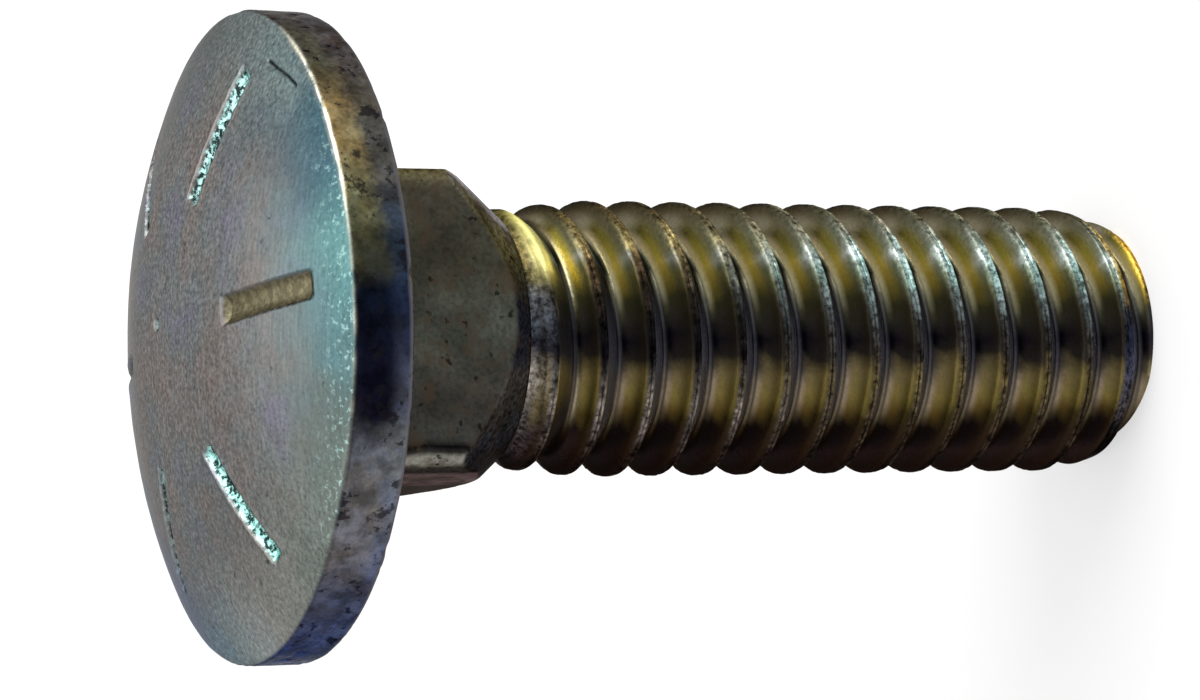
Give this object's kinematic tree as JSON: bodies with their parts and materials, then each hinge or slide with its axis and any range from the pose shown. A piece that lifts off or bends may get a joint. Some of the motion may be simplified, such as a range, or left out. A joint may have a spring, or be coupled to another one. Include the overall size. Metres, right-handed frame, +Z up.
{
  "type": "carriage bolt",
  "caption": "Round domed-head carriage bolt with radial strength grooves, a square neck, and a rolled right-hand thread, in yellow zinc-plated steel.",
  "frame": {"origin": "centre of the flat end that the bolt stands on, at the height of the table", "axes": "+Z up the bolt axis from the flat end to the head, with the side seen in the picture toward -Y"},
  "size_m": [0.0181, 0.018, 0.0295],
  "materials": {
    "yellow_zinc_steel": "yellow chromated zinc plating, satin with a faint rainbow sheen, worn on edges"
  },
  "bodies": {
    "root": {"carriage_bolt": "yellow_zinc_steel"}
  },
  "joints": []
}
